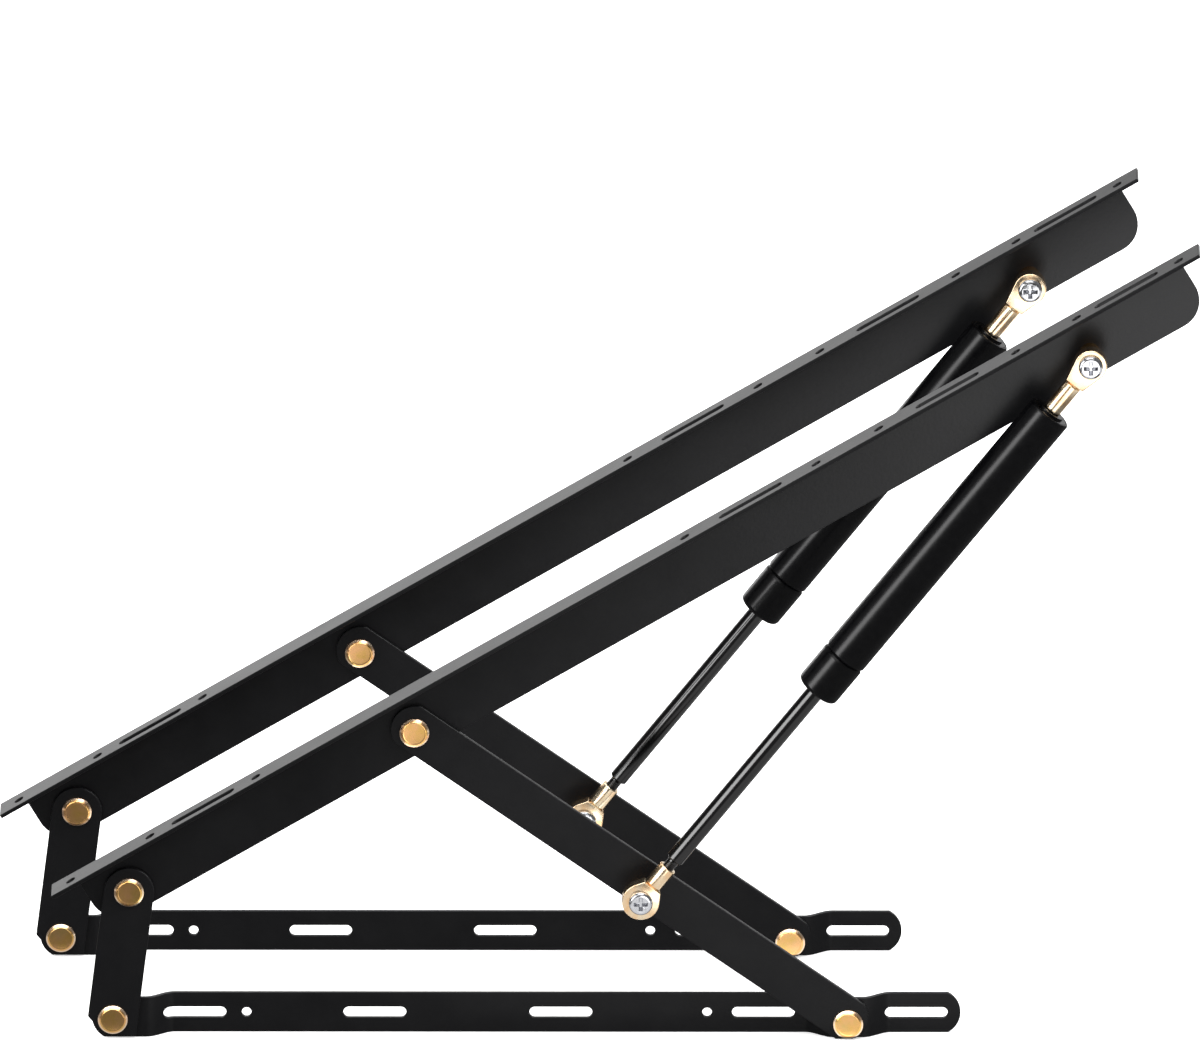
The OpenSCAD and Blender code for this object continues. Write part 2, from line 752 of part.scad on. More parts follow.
far() long_link_top_rivet();  // far_long_link_top_rivet
far() long_link_top_rivet_tail();  // far_long_link_top_rivet_tail
far() short_link_base_washer();  // far_short_link_base_washer
far() short_link_top_washer();  // far_short_link_top_washer
far() long_link_base_washer();  // far_long_link_base_washer
far() long_link_top_washer();  // far_long_link_top_washer
far() strut_tube();  // far_strut_tube
far() strut_end_cap();  // far_strut_end_cap
far() strut_end_plug();  // far_strut_end_plug
far() strut_rod();  // far_strut_rod
far() strut_piston();  // far_strut_piston
far() strut_piston_ring();  // far_strut_piston_ring
far() strut_rod_guide();  // far_strut_rod_guide
far() strut_rod_seal();  // far_strut_rod_seal
far() strut_top_eye();  // far_strut_top_eye
far() strut_foot_eye();  // far_strut_foot_eye
far() strut_top_bolt();  // far_strut_top_bolt
far() strut_foot_bolt();  // far_strut_foot_bolt
far() strut_top_spacer();  // far_strut_top_spacer
far() strut_foot_spacer();  // far_strut_foot_spacer
far() strut_top_nut();  // far_strut_top_nut
far() strut_foot_nut();  // far_strut_foot_nut
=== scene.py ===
import json
import math

import bpy
from mathutils import Matrix, Vector

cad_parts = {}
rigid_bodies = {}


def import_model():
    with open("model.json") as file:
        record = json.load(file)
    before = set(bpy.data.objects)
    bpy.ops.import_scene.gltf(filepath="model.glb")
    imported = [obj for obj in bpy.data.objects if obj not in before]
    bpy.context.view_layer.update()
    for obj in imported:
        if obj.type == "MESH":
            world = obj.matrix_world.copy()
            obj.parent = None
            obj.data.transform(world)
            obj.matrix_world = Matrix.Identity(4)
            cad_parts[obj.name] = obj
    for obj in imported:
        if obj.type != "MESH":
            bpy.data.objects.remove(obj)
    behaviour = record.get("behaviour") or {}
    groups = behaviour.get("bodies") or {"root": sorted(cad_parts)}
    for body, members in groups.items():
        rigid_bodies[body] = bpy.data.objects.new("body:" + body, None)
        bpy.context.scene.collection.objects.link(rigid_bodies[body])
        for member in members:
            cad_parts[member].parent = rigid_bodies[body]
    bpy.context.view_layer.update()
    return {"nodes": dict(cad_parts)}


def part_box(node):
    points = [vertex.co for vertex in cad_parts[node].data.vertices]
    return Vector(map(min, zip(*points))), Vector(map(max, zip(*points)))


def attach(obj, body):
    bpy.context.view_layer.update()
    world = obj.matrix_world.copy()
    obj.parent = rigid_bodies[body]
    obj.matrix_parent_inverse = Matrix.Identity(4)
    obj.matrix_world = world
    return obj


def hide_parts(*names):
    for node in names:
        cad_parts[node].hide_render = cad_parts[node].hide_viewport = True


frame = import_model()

# Base rails. Each is a flat steel bar on edge, punched with screw slots and pressed forward
# at both pivots so that the links swing clear of it. The bar is powder coated black after
# pressing, and it is screwed to the bed's side board.
mm = 0.001
plate_edge = 0.5  # mm, the soft edge that the coat leaves on cut plate
weld_gap = 0.001 * mm
flat_within = math.radians(0.3)
mix_by, mix_from, mix_to, mixed = 0, 6, 7, 2  # a colour Mix node's three inputs and its output


def linear(code):
    """Linear colour of an sRGB hex value."""
    parts = [int(code[i:i + 2], 16) / 255 for i in (1, 3, 5)]
    return [c / 12.92 if c <= 0.04045 else ((c + 0.055) / 1.055) ** 2.4 for c in parts] + [1]


def add_node(tree, kind, inputs=None, **settings):
    """Adds a node with its settings; an input takes a value or another node's output."""
    made = tree.nodes.new(kind)
    for name, value in settings.items():
        setattr(made, name, value)
    for name, value in (inputs or {}).items():
        if isinstance(value, bpy.types.NodeSocket):
            tree.links.new(value, made.inputs[name])
        else:
            made.inputs[name].default_value = value
    return made


def new_finish(name):
    """New material, with its node tree, its shader, and the place that its patterns read."""
    made = bpy.data.materials.new(name)
    made.use_nodes = True
    tree = made.node_tree
    place = add_node(tree, "ShaderNodeTexCoord").outputs["Object"]
    return made, tree, tree.nodes["Principled BSDF"], place


def per_metre(spacing):
    """Scale of a pattern whose marks are this many millimetres apart."""
    return 1 / (spacing * mm)


# Powder coat: sprayed and baked polyester, satin black. It gives a dark, even face with a soft
# sheen, a faint mottle about 30 mm wide, and an orange-peel skin about 1 mm across, which is
# drawn at 2.2 mm to show.
powder_coat, tree, shader, place = new_finish("satin_black_powder_coat")
shader.inputs["IOR"].default_value = 1.5
shader.inputs["Specular IOR Level"].default_value = 0.18
mottle = add_node(tree, "ShaderNodeTexNoise", {
    "Vector": place, "Scale": per_metre(30), "Detail": 4.0, "Roughness": 0.6})
shade = add_node(tree, "ShaderNodeMix", {
    mix_by: mottle.outputs["Fac"], mix_from: linear("#050506"), mix_to: linear("#0b0b0c")},
    data_type="RGBA")
sheen = add_node(tree, "ShaderNodeMapRange", {
    "Value": mottle.outputs["Fac"], "To Min": 0.3, "To Max": 0.39})
peel = add_node(tree, "ShaderNodeTexNoise", {
    "Vector": place, "Scale": per_metre(2.2), "Detail": 2.0, "Roughness": 0.5})
skin = add_node(tree, "ShaderNodeBump", {
    "Strength": 0.8, "Distance": 0.08 * mm, "Height": peel.outputs["Fac"]})
tree.links.new(shade.outputs[mixed], shader.inputs["Base Color"])
tree.links.new(sheen.outputs["Result"], shader.inputs["Roughness"])
tree.links.new(skin.outputs["Normal"], shader.inputs["Normal"])


def take_up(piece):
    """Makes a piece the only selected one."""
    bpy.ops.object.select_all(action="DESELECT")
    piece.select_set(True)
    bpy.context.view_layer.objects.active = piece


def weld(node, name):
    """Copy of a CAD node as one closed skin, with flat faces made whole."""
    piece = bpy.data.objects.new(name, frame["nodes"][node].data.copy())
    piece.data.name = name
    bpy.context.scene.collection.objects.link(piece)
    take_up(piece)
    bpy.ops.object.mode_set(mode="EDIT")
    bpy.ops.mesh.select_all(action="SELECT")
    bpy.ops.mesh.remove_doubles(threshold=weld_gap)
    bpy.ops.mesh.dissolve_limited(angle_limit=flat_within)
    bpy.ops.object.mode_set(mode="OBJECT")
    return piece


def break_edges(piece, width, sharper_than=30):
    """Rounds every edge sharper than that angle by so many millimetres."""
    take_up(piece)
    bpy.ops.object.shade_smooth()
    bevel = piece.modifiers.new("edge_break", "BEVEL")
    bevel.width = width * mm
    bevel.segments = 3
    bevel.limit_method = "ANGLE"
    bevel.angle_limit = math.radians(sharper_than)
    bevel.use_clamp_overlap = False
    bpy.ops.object.modifier_apply(modifier=bevel.name)
    flat = piece.modifiers.new("flat_faces", "WEIGHTED_NORMAL")
    flat.weight = 100
    bpy.ops.object.modifier_apply(modifier=flat.name)
    return piece


def coat(piece, material):
    """Gives a piece one finish all over."""
    piece.data.materials.clear()
    piece.data.materials.append(material)
    return piece


pair_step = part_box("far_base_rail")[0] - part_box("near_base_rail")[0]


def fit_pair(piece, node, body):
    """Fits a near piece and its far twin, which has its own mesh, in place of their CAD nodes."""
    take_up(piece)
    bpy.ops.object.duplicate()
    twin = bpy.context.object
    twin.name = twin.data.name = piece.name.replace("near_", "far_", 1)
    bpy.ops.transform.translate(value=pair_step)
    bpy.ops.object.transform_apply(location=True, rotation=False, scale=False)
    for side, made in (("near", piece), ("far", twin)):
        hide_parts(f"{side}_{node}")
        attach(made, body if body == "base" else f"{side}_{body}")


rail_bar = coat(break_edges(weld("near_base_rail", "near_rail_bar"), plate_edge), powder_coat)
fit_pair(rail_bar, "base_rail", "base")

# Links. Two flat plates a side, blanked from the same 3 mm steel as the rails and coated with
# them. They turn on shouldered rivets, with a thin washer between each link and what it turns on.
for node, body in (("short_link", "short_arm"), ("long_link", "long_arm")):
    link_plate = coat(break_edges(weld(f"near_{node}", f"near_{node}_plate"), plate_edge), powder_coat)
    fit_pair(link_plate, node, body)

# Pivot washers. Thin rings punched from black nylon sheet, one at each pivot, held by its rivet.
# The sheet gives a matt, slightly waxy black with a haze about 3 mm wide.
nylon, tree, shader, place = new_finish("black_nylon_sheet")
shader.inputs["IOR"].default_value = 1.53
shader.inputs["Specular IOR Level"].default_value = 0.3
haze = add_node(tree, "ShaderNodeTexNoise", {"Vector": place, "Scale": per_metre(3), "Detail": 3.0})
shade = add_node(tree, "ShaderNodeMix", {
    mix_by: haze.outputs["Fac"], mix_from: linear("#0e0e0f"), mix_to: linear("#19191b")},
    data_type="RGBA")
matt = add_node(tree, "ShaderNodeMapRange", {
    "Value": haze.outputs["Fac"], "To Min": 0.5, "To Max": 0.65})
tree.links.new(shade.outputs[mixed], shader.inputs["Base Color"])
tree.links.new(matt.outputs["Result"], shader.inputs["Roughness"])
for side in ("near", "far"):
    for pivot in ("short_link_base", "short_link_top", "long_link_base", "long_link_top"):
        coat(frame["nodes"][f"{side}_{pivot}_washer"], nylon)

# Platform rails. Each is a 45 x 25 mm angle folded from 3 mm steel and coated with the links.
# Its top leg runs past the web at both ends and is punched for the screws of the bed's platform.
# The leg's free edge was sheared, which leaves it leaning back a little towards its underside.
shear_lean = 1  # mm
on_edge = 0.01  # mm
angle_iron = weld("near_platform_rail", "near_angle_iron")
bpy.ops.object.mode_set(mode="EDIT")
bpy.ops.mesh.select_all(action="DESELECT")
bpy.ops.object.mode_set(mode="OBJECT")
corners = angle_iron.data.vertices
leg_top = max((f for f in angle_iron.data.polygons if f.normal.z > 0.5), key=lambda f: f.area)
leg_up = leg_top.normal.copy()
leg_height = leg_up.dot(leg_top.center)
free_edge = min(v.co.y for v in corners)
for v in corners:
    underneath = leg_up.dot(v.co) < leg_height - mm
    v.select = underneath and v.co.y < free_edge + on_edge * mm
bpy.ops.object.mode_set(mode="EDIT")
bpy.ops.transform.translate(value=(0, shear_lean * mm, 0))
bpy.ops.object.mode_set(mode="OBJECT")
coat(break_edges(angle_iron, plate_edge), powder_coat)
fit_pair(angle_iron, "platform_rail", "platform")

# Rivets. Turned from soft steel bar, plated with yellow zinc, and set through link and rail,
# with a flat head in front and a spun tail behind. The head's outer rim takes a paler zinc, a painted
# highlight.
# The one at the long link's top is in two halves, because the link can leave the rail there.
rivet_edge = 0.25  # mm
pin_radius = 5
tail_seat, head_seat = 2.5, 9.6  # mm from the tail's end, where tail and head sit on the plates
tail_half_end, head_half_start = 5.5, 5.6  # mm from the tail's end, where the halves part
# The rim's painted highlight, a paler zinc, lies outside rim_start and within rim_depth of the head's
# top.
rim_start = 8.9  # mm from the axis
rim_depth = 2.4  # mm, from the highest point of the head
rivet_tail = [(0, 0), (5.2, 0), (7.2, 0.5), (8, 1.4), (8, tail_seat)]
rivet_head = [(9.55, head_seat), (10, 10.05), (10, 10.8), (rim_start, 11.7), (7.8, 12.6), (7.2, 12.55),
              (6.8, 12.4), (0, 12.4)]


# Yellow zinc: passivated zinc plate on steel. It gives a warm gold metal that drifts to pink and
# olive in cloudy patches 8 to 14 mm wide, with a fine grain about 0.5 mm, drawn at 1.2 mm.
def yellow_zinc(name, pale, warm, stain):
    """Yellow zinc finish that runs from a pale to a warm tint, with stained patches."""
    made, tree, shader, place = new_finish(name)
    shader.inputs["Metallic"].default_value = 1.0
    cloud = add_node(tree, "ShaderNodeTexNoise", {
        "Vector": place, "Scale": per_metre(8), "Detail": 3.0, "Roughness": 0.55})
    warmth = add_node(tree, "ShaderNodeMapRange", {
        "Value": cloud.outputs["Fac"], "From Min": 0.35, "From Max": 0.65})
    gold = add_node(tree, "ShaderNodeMix", {
        mix_by: warmth.outputs["Result"], mix_from: linear(pale), mix_to: linear(warm)},
        data_type="RGBA")
    drift = add_node(tree, "ShaderNodeTexNoise", {
        "Vector": place, "Scale": per_metre(14), "Detail": 2.0})
    patch = add_node(tree, "ShaderNodeMapRange", {
        "Value": drift.outputs["Fac"], "From Min": 0.5, "From Max": 0.72, "To Max": 0.35})
    tint = add_node(tree, "ShaderNodeMix", {
        mix_by: patch.outputs["Result"], mix_from: gold.outputs[mixed], mix_to: linear(stain)},
        data_type="RGBA")
    grain = add_node(tree, "ShaderNodeTexNoise", {
        "Vector": place, "Scale": per_metre(1.2), "Detail": 3.0, "Roughness": 0.6})
    gloss = add_node(tree, "ShaderNodeMapRange", {
        "Value": grain.outputs["Fac"], "To Min": 0.16, "To Max": 0.28})
    pits = add_node(tree, "ShaderNodeBump", {
        "Strength": 0.1, "Distance": 0.03 * mm, "Height": grain.outputs["Fac"]})
    tree.links.new(tint.outputs[mixed], shader.inputs["Base Color"])
    tree.links.new(gloss.outputs["Result"], shader.inputs["Roughness"])
    tree.links.new(pits.outputs["Normal"], shader.inputs["Normal"])
    return made


rivet_zinc = yellow_zinc("yellow_zinc_on_rivets", "#e2b466", "#eeb67e", "#c8b676")
# The rims take a paler zinc that stands in for the light they catch all round: a painted highlight.
rim_highlight_zinc = yellow_zinc("yellow_zinc_rubbed_pale", "#f2dcc0", "#f0c8a8", "#e6d2a6")


def turned(name, outline, steps=96):
    """Round piece about Z: its outline, as (radius, height) in mm, is drawn and then spun."""
    bpy.ops.object.select_all(action="DESELECT")
    bpy.ops.mesh.primitive_plane_add(size=mm)
    piece = bpy.context.object
    piece.name = piece.data.name = name
    bpy.ops.object.mode_set(mode="EDIT")
    bpy.ops.mesh.merge(type="CENTER")
    last = Vector((0, 0, 0))
    for i, (radius, height) in enumerate(outline):
        point = Vector((radius * mm, 0, height * mm))
        if i == 0:
            bpy.ops.transform.translate(value=point)
        else:
            bpy.ops.mesh.extrude_region_move(TRANSFORM_OT_translate={"value": point - last})
        last = point
    bpy.ops.mesh.select_all(action="SELECT")
    bpy.ops.mesh.spin(steps=steps, angle=2 * math.pi, center=(0, 0, 0), axis=(0, 0, 1))
    bpy.ops.mesh.select_all(action="SELECT")
    bpy.ops.mesh.remove_doubles(threshold=weld_gap)
    bpy.ops.mesh.normals_make_consistent(inside=False)
    bpy.ops.object.mode_set(mode="OBJECT")
    return piece


def paint_rim_highlight(piece):
    """Gives the outer rim of a rivet's head the paler finish, a painted highlight, before the rivet is
    put in place.
    """
    piece.data.materials.append(rim_highlight_zinc)
    top = max(v.co.z for v in piece.data.vertices)
    for face in piece.data.polygons:
        radius = math.hypot(face.center.x, face.center.y)
        face.material_index = int(radius > rim_start * mm and face.center.z > top - rim_depth * mm)


def set_down(piece, matrix):
    """Puts a finished piece in its place, and its place in its mesh."""
    take_up(piece)
    piece.matrix_world = matrix
    bpy.ops.object.transform_apply(location=True, rotation=True, scale=True)
    return piece


def on_pivot(node):
    """Frame of a pin: on its axis at the back end, with +Z towards the open side."""
    low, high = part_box(node)
    back = Vector(((low.x + high.x) / 2, high.y, (low.z + high.z) / 2))
    return Matrix.Translation(back) @ Matrix.Rotation(math.radians(90), 4, "X")


def another(piece, name):
    """Copy of a piece with its own mesh."""
    take_up(piece)
    bpy.ops.object.duplicate()
    made = bpy.context.object
    made.name = made.data.name = name
    return made


pin_sides = [(pin_radius, tail_seat), (pin_radius, head_seat)]
rivet_pin = turned("rivet_pattern", rivet_tail + pin_sides + rivet_head)
paint_rim_highlight(coat(break_edges(rivet_pin, rivet_edge), rivet_zinc))
for pivot, body in (("short_link_base", "base"), ("long_link_base", "base"),
                    ("short_link_top", "platform")):
    whole = set_down(another(rivet_pin, f"near_{pivot}_rivet_pin"), on_pivot(f"near_{pivot}_rivet"))
    fit_pair(whole, f"{pivot}_rivet", body)
bpy.data.objects.remove(rivet_pin)

head_half = [(0, 0), (pin_radius, 0), (pin_radius, head_seat - head_half_start)]
head_half += [(radius, height - head_half_start) for radius, height in rivet_head]
top_head = coat(break_edges(turned("near_long_link_top_rivet_head", head_half), rivet_edge), rivet_zinc)
paint_rim_highlight(top_head)
set_down(top_head, on_pivot("near_long_link_top_rivet"))
fit_pair(top_head, "long_link_top_rivet", "long_arm")
tail_half = rivet_tail + [(pin_radius, tail_seat), (pin_radius, tail_half_end), (0, tail_half_end)]
top_tail = coat(break_edges(turned("near_long_link_top_rivet_end", tail_half), rivet_edge), rivet_zinc)
set_down(top_tail, on_pivot("near_long_link_top_rivet_tail"))
fit_pair(top_tail, "long_link_top_rivet_tail", "platform")

# Gas struts. The pressure tube is drawn steel tube, and the cap at the rod's end is turned and
# pressed into it. Both are enamelled gloss black. The strut hangs between a bolt on the long link,
# at its foot, and one on the platform rail.
foot_low, foot_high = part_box("near_strut_foot_bolt")
top_low, top_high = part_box("near_strut_top_bolt")
eye_low, eye_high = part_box("near_strut_foot_eye")
strut_foot = Vector(((foot_low.x + foot_high.x) / 2, (eye_low.y + eye_high.y) / 2,
                     (foot_low.z + foot_high.z) / 2))
strut_run = Vector((top_low.x + top_high.x, 0, top_low.z + top_high.z)) / 2
strut_run -= Vector((strut_foot.x, 0, strut_foot.z))
strut_length = strut_run.length / mm
strut_axis = strut_run.normalized()
strut_side = Vector((0, 1, 0)).cross(strut_axis)


def on_strut(station=0):
    """Frame on the strut's axis, so many mm from the foot's bolt, with +Z towards the top."""
    turn = Matrix((strut_side, (0, 1, 0), strut_axis)).transposed().to_4x4()
    return Matrix.Translation(strut_foot + strut_axis * station * mm) @ turn


# Gloss enamel: stoved black paint on steel. It gives a deep black with long clear streaks of
# light, broken a little by the paint's flow marks, about 4 mm apart.
enamel, tree, shader, place = new_finish("gloss_black_enamel")
shader.inputs["IOR"].default_value = 1.5
shader.inputs["Specular IOR Level"].default_value = 0.25
flow = add_node(tree, "ShaderNodeTexNoise", {
    "Vector": place, "Scale": per_metre(4), "Detail": 2.0, "Roughness": 0.4})
shade = add_node(tree, "ShaderNodeMix", {
    mix_by: flow.outputs["Fac"], mix_from: linear("#020203"), mix_to: linear("#070708")},
    data_type="RGBA")
gloss = add_node(tree, "ShaderNodeMapRange", {
    "Value": flow.outputs["Fac"], "To Min": 0.22, "To Max": 0.28})
wave = add_node(tree, "ShaderNodeBump", {
    "Strength": 0.2, "Distance": 0.03 * mm, "Height": flow.outputs["Fac"]})
tree.links.new(shade.outputs[mixed], shader.inputs["Base Color"])
tree.links.new(gloss.outputs["Result"], shader.inputs["Roughness"])
tree.links.new(wave.outputs["Normal"], shader.inputs["Normal"])

top_eye_length = 41
plug_shoulder = 1.5  # mm between the tube's end and the top eye
tube_length = 219
tube_radius = 15
tube_bore = 13
tube_top = strut_length - top_eye_length - plug_shoulder
tube_start = tube_top - tube_length
tube_outline = [(tube_bore, 0), (13.6, 0), (tube_radius, 1.6), (tube_radius, tube_length - 1),
                (14, tube_length), (tube_bore, tube_length), (tube_bore, 0)]
tube_shell = coat(break_edges(turned("near_tube_shell", tube_outline, steps=128), width=0.35), enamel)
fit_pair(set_down(tube_shell, on_strut(tube_start)), "strut_tube", "tube")

cap_length = 30
cap_wall = 6
rod_hole = 6.4
nose_round = 3.5
tube_fit = 12.95  # radius of what is pressed into the tube
sleeve_bore = 10.95
sleeve_end = cap_length + 8
quarter_turn = [math.radians(11.25 * i) for i in range(9)]  # a rounded corner in eight steps
cap_nose = [(tube_radius - nose_round + nose_round * math.sin(a), nose_round - nose_round * math.cos(a))
            for a in quarter_turn]
cap_outline = [(rod_hole, 0)] + cap_nose + [
    (tube_radius, 28.4), (13.6, cap_length), (tube_fit, cap_length), (tube_fit, sleeve_end),
    (sleeve_bore, sleeve_end), (sleeve_bore, cap_wall), (rod_hole, cap_wall), (rod_hole, 0)]
cap_shell = coat(break_edges(turned("near_cap_shell", cap_outline, steps=128), width=0.3), enamel)
set_down(cap_shell, on_strut(tube_start - cap_length))
fit_pair(cap_shell, "strut_end_cap", "tube")

# Piston rods. Each is ground steel bar, nitrided black in a salt bath and polished. A threaded
# stud at its foot screws into the eye, and a thin end carries the piston inside the tube.
rod_radius = 6
stud_radius = 4
stud_root = 3.6
stud_pitch = 1.25
stud_turns = 14
spigot_radius = 4
foot_eye_length = 29.5
stud_start = foot_eye_length - 12
rod_start = foot_eye_length + 6.5
piston_start = tube_start + 11
rod_end = piston_start + 10

# Nitrided steel: a near-black metal with a hard bright streak. Its grinding marks are about
# 0.3 mm apart, drawn at 1 mm.
nitride, tree, shader, place = new_finish("black_nitrided_steel")
shader.inputs["Metallic"].default_value = 1.0
marks = add_node(tree, "ShaderNodeTexNoise", {
    "Vector": place, "Scale": per_metre(1), "Detail": 2.0})
shade = add_node(tree, "ShaderNodeMix", {
    mix_by: marks.outputs["Fac"], mix_from: linear("#3b3b3b"), mix_to: linear("#464646")},
    data_type="RGBA")
gloss = add_node(tree, "ShaderNodeMapRange", {
    "Value": marks.outputs["Fac"], "To Min": 0.12, "To Max": 0.2})
tree.links.new(shade.outputs[mixed], shader.inputs["Base Color"])
tree.links.new(gloss.outputs["Result"], shader.inputs["Roughness"])

stud_thread = []
for turn in range(stud_turns):
    rise = stud_start + stud_pitch * turn
    stud_thread += [(stud_root, rise), (stud_radius, rise + 0.5), (stud_radius, rise + 0.8)]
rod_outline = [(0, stud_start)] + stud_thread + [
    (stud_root, rod_start), (5, rod_start), (rod_radius, rod_start + 1), (rod_radius, piston_start - 1),
    (5, piston_start), (spigot_radius, piston_start), (spigot_radius, rod_end), (0, rod_end)]
rod_bar = turned("near_rod_bar", rod_outline)
coat(break_edges(rod_bar, width=0.12, sharper_than=40), nitride)
fit_pair(set_down(rod_bar, on_strut()), "strut_rod", "rod")

# Eyes. Each is a flat forged eye with a round threaded shank, screwed on the strut's end. The
# edges of the forging are rounded, and its yellow zinc is paler than that of the rivets.
eye_zinc = yellow_zinc("yellow_zinc_on_eyes", "#e8d8bc", "#e6c094", "#c9b48c")
eye_thickness = 10
neck_width = 13.4
shank_radius = 6
groove_radius = 4.4
thread_depth = 13
bolt_hole = stud_hole = 4.05  # radius


def cut(piece, tool, operation):
    """Joins, cuts or trims a piece by another solid, which is used up."""
    take_up(piece)
    change = piece.modifiers.new("cut", "BOOLEAN")
    change.operation = operation
    change.solver = "EXACT"
    change.object = tool
    bpy.ops.object.modifier_apply(modifier=change.name)
    bpy.data.objects.remove(tool)


def eye_forging(name, width, shoulder, length):
    """Eye about the origin, bored along Y, with its shank along +Z behind a small groove."""
    bpy.ops.object.select_all(action="DESELECT")
    bpy.ops.mesh.primitive_cylinder_add(vertices=96, radius=width / 2 * mm, depth=eye_thickness * mm,
                                        rotation=(math.radians(90), 0, 0))
    piece = bpy.context.object
    piece.name = piece.data.name = name
    bpy.ops.object.transform_apply(location=True, rotation=True, scale=True)
    bpy.ops.object.mode_set(mode="EDIT")
    bpy.ops.mesh.primitive_cube_add(size=mm, location=(0, 0, (shoulder - 0.5) * mm))
    bpy.ops.transform.resize(value=(neck_width, eye_thickness, 1))
    bpy.ops.mesh.select_all(action="SELECT")
    bpy.ops.mesh.convex_hull()
    bpy.ops.mesh.dissolve_limited(angle_limit=flat_within)
    bpy.ops.object.mode_set(mode="OBJECT")
    break_edges(piece, width=0.7)
    bore = turned("eye_bore", [(0, -8), (bolt_hole, -8), (bolt_hole, 8), (0, 8)], steps=48)
    set_down(bore, Matrix.Rotation(math.radians(90), 4, "X"))
    cut(piece, bore, "DIFFERENCE")
    shank = turned("eye_shank", [
        (0, shoulder - 2), (groove_radius, shoulder - 2), (groove_radius, shoulder + 0.2),
        (shank_radius, shoulder + 1.2), (shank_radius, length - 0.6), (5.4, length), (stud_hole, length),
        (stud_hole, length - thread_depth), (0, length - thread_depth)])
    cut(piece, break_edges(shank, width=0.2), "UNION")
    take_up(piece)
    bpy.ops.object.shade_smooth_by_angle(angle=math.radians(35))
    return coat(piece, eye_zinc)


foot_eye = eye_forging("near_foot_eye_forging", width=25, shoulder=12.8, length=foot_eye_length)
fit_pair(set_down(foot_eye, on_strut()), "strut_foot_eye", "rod")
top_eye = eye_forging("near_top_eye_forging", width=21.5, shoulder=17.6, length=top_eye_length)
set_down(top_eye, on_strut(strut_length) @ Matrix.Rotation(math.pi, 4, "X"))
fit_pair(top_eye, "strut_top_eye", "tube")

# End plugs. Each is turned from steel bar, pressed into the tube's top and enamelled with it.
# Its stud carries the top eye, and only its shoulder shows.
plug_depth = 12
stud_top = 13.5
plug_outline = [(0, -plug_depth), (tube_fit, -plug_depth), (tube_fit, 0), (9.5, 0), (9.5, plug_shoulder),
                (stud_radius, plug_shoulder), (stud_radius, stud_top), (0, stud_top)]
plug_body = coat(break_edges(turned("near_plug_body", plug_outline), width=0.3), enamel)
fit_pair(set_down(plug_body, on_strut(tube_top)), "strut_end_plug", "tube")

# Spacers. Cut from steel tube and plated with yellow zinc as the rivets are. They sit on the
# strut's bolts and hold the eyes clear of the plates behind them.
spacer_radius = 7
for end, body in (("top", "platform"), ("foot", "rod")):
    low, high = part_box(f"near_strut_{end}_spacer")
    length = (high.y - low.y) / mm
    spacer = turned(f"near_{end}_spacer_tube", [
        (bolt_hole, 0), (spacer_radius, 0), (spacer_radius, length), (bolt_hole, length), (bolt_hole, 0)])
    coat(break_edges(spacer, width=0.4), rivet_zinc)
    set_down(spacer, on_pivot(f"near_strut_{end}_spacer"))
    fit_pair(spacer, f"strut_{end}_spacer", body)

# Strut bolts. Cold-headed steel with a domed pan head and a pressed cross recess, bright zinc
# plated. The foot's bolt stops at the link's face, where the strut can leave it.
bolt_radius = 4
head_radius = 8
head_height = 5
dome_round = 2.5
recess_foot, recess_mouth = 0.45, 0.72  # mm, a wing's radius before it is stretched
recess_depth = 4.8
recess_middle = 3  # mm above the head's seat
wing_length, wing_width = 9.4, 2.6  # times that radius

# Bright zinc: blue-passivated zinc plate on steel. It gives a clean silver metal with a faint
# blue cast and a soft sparkle from the plate's grain, about 0.5 mm, drawn at 1 mm.
bright_zinc, tree, shader, place = new_finish("bright_passivated_zinc")
shader.inputs["Metallic"].default_value = 1.0
sparkle = add_node(tree, "ShaderNodeTexNoise", {
    "Vector": place, "Scale": per_metre(1), "Detail": 3.0, "Roughness": 0.6})
shade = add_node(tree, "ShaderNodeMix", {
    mix_by: sparkle.outputs["Fac"], mix_from: linear("#b2b3b6"), mix_to: linear("#cbccd0")},
    data_type="RGBA")
gloss = add_node(tree, "ShaderNodeMapRange", {
    "Value": sparkle.outputs["Fac"], "To Min": 0.1, "To Max": 0.2})
tree.links.new(shade.outputs[mixed], shader.inputs["Base Color"])
tree.links.new(gloss.outputs["Result"], shader.inputs["Roughness"])

for end, body in (("top", "platform"), ("foot", "rod")):
    low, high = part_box(f"near_strut_{end}_bolt")
    shank = (high.y - low.y) / mm - head_height
    dome_foot = shank + head_height - dome_round
    dome = [(head_radius - dome_round + dome_round * math.cos(a), dome_foot + dome_round * math.sin(a))
            for a in quarter_turn]
    bolt = turned(f"near_{end}_bolt_body", [
        (0, 0), (3.5, 0), (bolt_radius, 0.5), (bolt_radius, shank), (head_radius, shank)]
        + dome + [(0, shank + head_height)])
    for quarter in (0, 1):
        bpy.ops.object.select_all(action="DESELECT")
        bpy.ops.mesh.primitive_cone_add(vertices=4, radius1=recess_foot * mm, radius2=recess_mouth * mm,
                                        depth=recess_depth * mm, rotation=(0, 0, math.pi / 4))
        wing = bpy.context.object
        bpy.ops.object.transform_apply(location=True, rotation=True, scale=True)
        wing.scale = (wing_length, wing_width, 1)
        wing.location.z = (shank + recess_middle) * mm
        wing.rotation_euler.z = quarter * math.pi / 2
        bpy.ops.object.transform_apply(location=True, rotation=True, scale=True)
        cut(bolt, wing, "DIFFERENCE")
    coat(break_edges(bolt, width=0.2), bright_zinc)
    set_down(bolt, on_pivot(f"near_strut_{end}_bolt"))
    fit_pair(bolt, f"strut_{end}_bolt", body)

